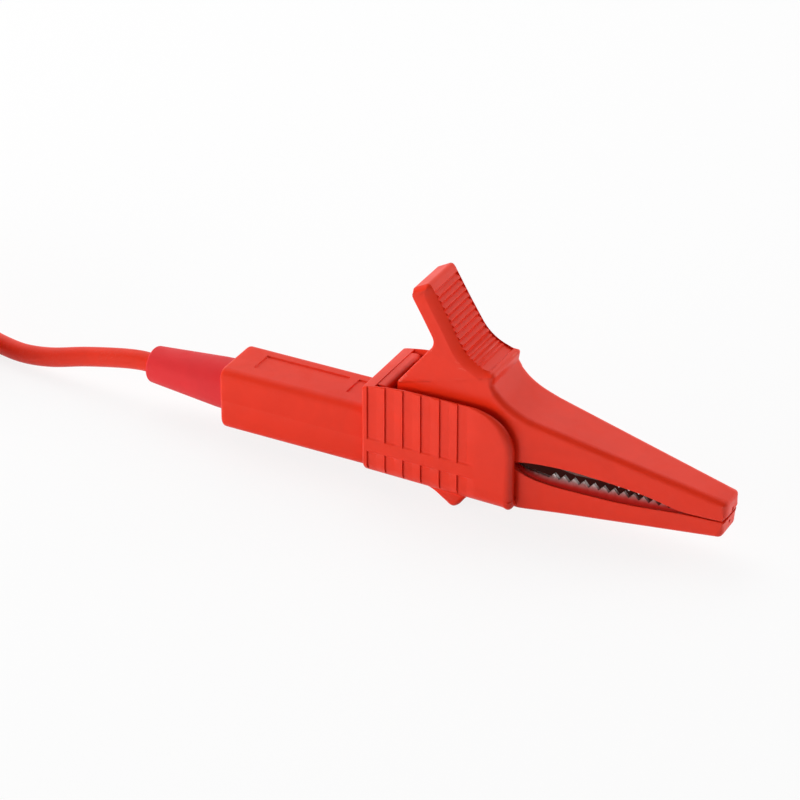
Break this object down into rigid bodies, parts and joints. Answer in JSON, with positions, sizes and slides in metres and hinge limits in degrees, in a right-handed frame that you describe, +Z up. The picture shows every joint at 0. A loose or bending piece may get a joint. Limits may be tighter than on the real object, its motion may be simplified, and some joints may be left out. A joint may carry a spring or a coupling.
{
  "type": "test lead with crocodile clip",
  "caption": "Flexible test lead with a shrouded plug at each end; a push-on insulated spring clip with toothed metal jaws fits one plug.",
  "frame": {"origin": "middle of the near plug and clip, on the surface that the lead rests on, under the plug's axis", "axes": "+X along the plug's and clip's axis towards the jaw tips, +Z up, +Y to the left seen from behind the clip"},
  "size_m": [0.2496, 0.0424, 0.0442],
  "materials": {
    "clip_plastic": "satin red moulded plastic",
    "plug_plastic": "satin red moulded plastic",
    "boot_rubber": "soft crimson boot",
    "cord_sheath": "satin red flexible insulation",
    "tie_strap": "black moulded strap",
    "plated_steel": "nickel-plated sheet steel",
    "spring_steel": "bright spring wire",
    "plated_brass": "nickel-plated turned brass",
    "contact_spring": "gold-plated sprung sheet",
    "copper": "bare stranded copper"
  },
  "bodies": {
    "lead": {"near_housing": "plug_plastic", "near_boot": "boot_rubber", "near_contact": "plated_brass", "near_cage": "contact_spring", "near_conductor": "copper", "near_cable": "cord_sheath", "cord_near": "cord_sheath", "cord_coil": "cord_sheath", "cord_tie": "tie_strap", "cord_far": "cord_sheath", "far_housing": "plug_plastic", "far_boot": "boot_rubber", "far_contact": "plated_brass", "far_cage": "contact_spring", "far_conductor": "copper", "far_cable": "cord_sheath"},
    "clip": {"lower_cover": "clip_plastic", "lower_jaw": "plated_steel", "socket": "plated_brass", "socket_bush": "clip_plastic", "pivot_pin": "plated_steel", "jaw_spring": "spring_steel"},
    "jaw": {"upper_cover": "clip_plastic", "upper_jaw": "plated_steel"}
  },
  "joints": [
    {"name": "clip_pull", "type": "slide", "parent": "lead", "child": "clip", "axis": [1, 0, 0], "range_m": [0, 0.03]},
    {"name": "jaw_open", "type": "hinge", "parent": "clip", "child": "jaw", "pos_m": [0.01355, 0, 0.0177], "axis": [0, -1, 0], "range_deg": [0, 24], "stiffness_Nm_per_rad": 0.15, "springref_deg": -20.05, "deforming": ["jaw_spring"]}
  ]
}
